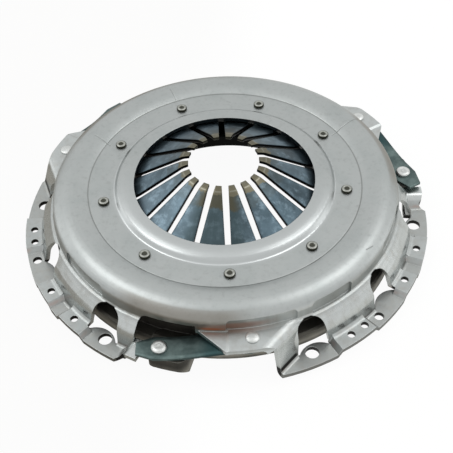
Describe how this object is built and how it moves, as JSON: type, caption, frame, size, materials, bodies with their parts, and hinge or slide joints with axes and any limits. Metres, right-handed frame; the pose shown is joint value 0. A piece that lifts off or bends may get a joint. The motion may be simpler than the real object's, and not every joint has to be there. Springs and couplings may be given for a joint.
{
  "type": "clutch pressure plate",
  "caption": "Diaphragm-spring clutch cover assembly: pressed steel cover, slotted spring, fulcrum rings, drive straps and an iron pressure plate that lifts.",
  "frame": {"origin": "on the clutch axis, in the face of the cover flange that bolts to the flywheel", "axes": "+Z along the clutch axis, away from the flywheel towards the release bearing; +X through one flywheel bolt hole"},
  "size_m": [0.33, 0.3239, 0.0703],
  "materials": {
    "cover_steel": "satin",
    "plate_iron": "matte",
    "spring_steel": "satin",
    "wire_steel": "satin",
    "rivet_steel": "satin",
    "strap_steel": "satin",
    "cover_rivet_steel": "satin",
    "lug_rivet_steel": "satin"
  },
  "bodies": {
    "cover": {"cover": "cover_steel", "upper_fulcrum_ring": "wire_steel", "lower_fulcrum_ring": "wire_steel", "fulcrum_rivets": "rivet_steel", "diaphragm_spring": "spring_steel", "cover_strap_rivet_a": "cover_rivet_steel", "cover_strap_rivet_b": "cover_rivet_steel", "cover_strap_rivet_c": "cover_rivet_steel", "strap_a_leaf_1": "strap_steel", "strap_a_leaf_2": "strap_steel", "strap_a_leaf_3": "strap_steel", "strap_b_leaf_1": "strap_steel", "strap_b_leaf_2": "strap_steel", "strap_b_leaf_3": "strap_steel", "strap_c_leaf_1": "strap_steel", "strap_c_leaf_2": "strap_steel", "strap_c_leaf_3": "strap_steel"},
    "pressure_plate": {"pressure_plate": "plate_iron", "lug_strap_rivet_a": "lug_rivet_steel", "lug_strap_rivet_b": "lug_rivet_steel", "lug_strap_rivet_c": "lug_rivet_steel"}
  },
  "joints": [
    {"name": "plate_lift", "type": "slide", "parent": "cover", "child": "pressure_plate", "axis": [0, 0, 1], "range_m": [0, 0.0075], "stiffness_N_per_m": 20000, "springref_m": -0.015, "deforming": ["diaphragm_spring", "strap_a_leaf_1", "strap_a_leaf_2", "strap_a_leaf_3", "strap_b_leaf_1", "strap_b_leaf_2", "strap_b_leaf_3", "strap_c_leaf_1", "strap_c_leaf_2", "strap_c_leaf_3"]}
  ]
}
